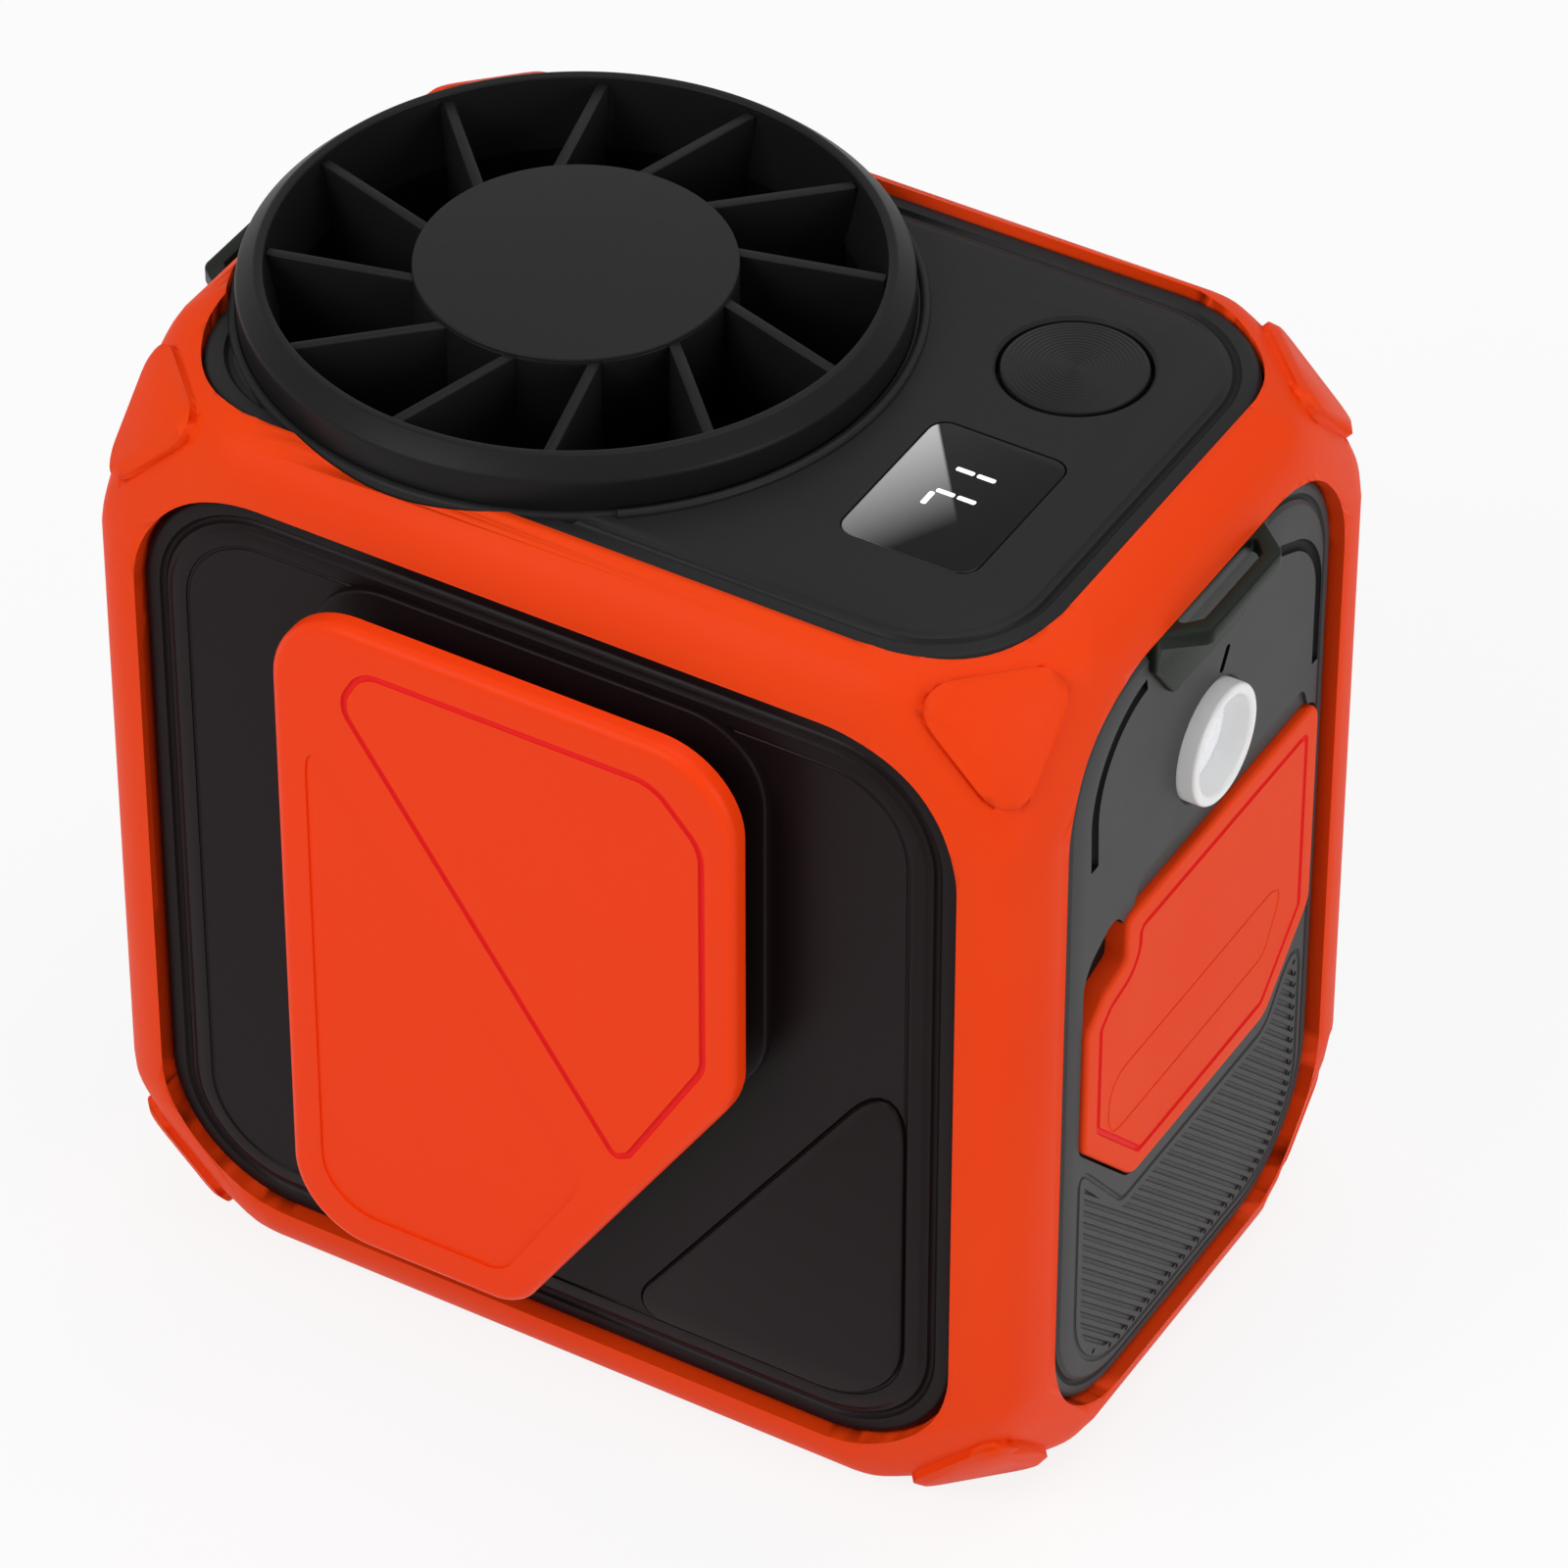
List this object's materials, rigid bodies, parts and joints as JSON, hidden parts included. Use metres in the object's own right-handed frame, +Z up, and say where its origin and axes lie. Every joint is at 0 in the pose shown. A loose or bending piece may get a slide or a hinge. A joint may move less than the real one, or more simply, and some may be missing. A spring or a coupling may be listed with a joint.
{
  "type": "waist fan",
  "caption": "Clip-on waist fan: rubber-caged block with a round top outlet, push button, display, torch, port flap, strap loops and a sprung belt clip.",
  "frame": {"origin": "centre of the flat base the fan stands on", "axes": "+Z up through the air outlet, -Y towards the belt clip, +X towards the torch and port flap"},
  "size_m": [0.1068, 0.0757, 0.1046],
  "materials": {
    "orange_rubber": "matt, soft to the touch",
    "orange_plastic": "fine satin",
    "black_plastic": "fine satin grain",
    "grey_plastic": "fine satin grain",
    "black_gloss": "polished",
    "white_plastic": "polished",
    "clear_lens": "polished",
    "mirror_finish": "mirror",
    "steel": "bright zinc plated",
    "magnet_steel": "dark coated",
    "winding_steel": "laminated",
    "board_green": "solder mask",
    "cell_wrap": "shrink wrapped",
    "net_black": "fine net"
  },
  "bodies": {
    "housing": {"bumper_cage": "orange_rubber", "top_panel": "grey_plastic", "front_panel": "black_plastic", "back_panel": "black_plastic", "right_panel": "grey_plastic", "left_panel": "grey_plastic", "bottom_panel": "black_plastic", "base_screws": "steel", "lower_shell": "black_plastic", "upper_shell": "black_plastic", "lid_screws": "steel", "dust_screen": "net_black", "outlet_grille": "grey_plastic", "hub_cap": "grey_plastic", "fan_duct": "black_plastic", "motor_stator": "winding_steel", "motor_bearings": "steel", "clip_base": "grey_plastic", "clip_pin": "steel", "clip_spring": "steel", "button_switch": "black_plastic", "display_window": "black_gloss", "display_module": "black_plastic", "display_board": "board_green", "board_screws": "steel", "main_board": "board_green", "usb_a_socket": "steel", "usb_c_socket": "steel", "port_bay": "black_plastic", "torch_ring": "white_plastic", "torch_lens": "clear_lens", "torch_reflector": "mirror_finish", "torch_light": "white_plastic", "strap_bracket_right": "black_plastic", "strap_bracket_left": "black_plastic", "battery_cells": "cell_wrap", "battery_holder": "black_plastic", "cell_tabs": "steel"},
    "fan_wheel": {"impeller": "black_plastic", "motor_shaft": "steel", "rotor_ring": "magnet_steel"},
    "button": {"power_button": "grey_plastic", "switch_plunger": "black_plastic"},
    "clip": {"belt_clip": "orange_plastic"},
    "flap": {"port_cover": "orange_rubber"}
  },
  "joints": [
    {"name": "fan_spin", "type": "hinge", "parent": "housing", "child": "fan_wheel", "pos_m": [-0.0166, 0, 0.08], "axis": [0, 0, 1], "continuous": true},
    {"name": "button_press", "type": "slide", "parent": "housing", "child": "button", "axis": [0, 0, -1], "range_m": [0, 0.0006], "stiffness_N_per_m": 400, "springref_m": -0.0012},
    {"name": "clip_open", "type": "hinge", "parent": "housing", "child": "clip", "pos_m": [0, -0.0366, 0.07725], "axis": [-1, 0, 0], "range_deg": [0, 15], "stiffness_Nm_per_rad": 0.6, "springref_deg": -8.59},
    {"name": "flap_open", "type": "hinge", "parent": "housing", "child": "flap", "pos_m": [0.0496, 0, 0.03065], "axis": [0, 1, 0], "range_deg": [0, 100], "stiffness_Nm_per_rad": 0.004}
  ]
}
